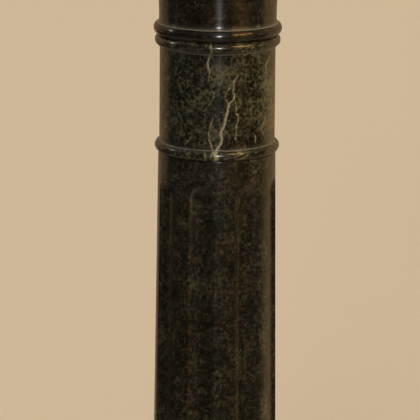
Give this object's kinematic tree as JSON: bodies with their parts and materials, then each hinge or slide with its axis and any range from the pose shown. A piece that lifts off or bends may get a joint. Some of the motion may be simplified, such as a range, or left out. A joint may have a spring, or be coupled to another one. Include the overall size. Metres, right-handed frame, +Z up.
{
  "type": "fluted marble column",
  "caption": "Free-standing dark marble column: square plinth, turned base, tapering fluted shaft, veined drum between rings, flared capital and a square top slab for a bust or urn.",
  "frame": {"origin": "on the floor, under the centre of the square plinth", "axes": "+Z up along the column's axis; X and Y square to the plinth's sides, each of which has a flute above its middle"},
  "size_m": [0.273, 0.273, 1.1085],
  "materials": {
    "dark_marble": "polished, near-black green serpentine marble with fine olive mottling",
    "veined_marble": "polished, dark green marble with olive mottling and pale yellow veins"
  },
  "bodies": {
    "root": {"plinth": "dark_marble", "base": "dark_marble", "fluted_shaft": "dark_marble", "drum": "veined_marble", "capital": "dark_marble", "top_slab": "dark_marble"}
  },
  "joints": []
}
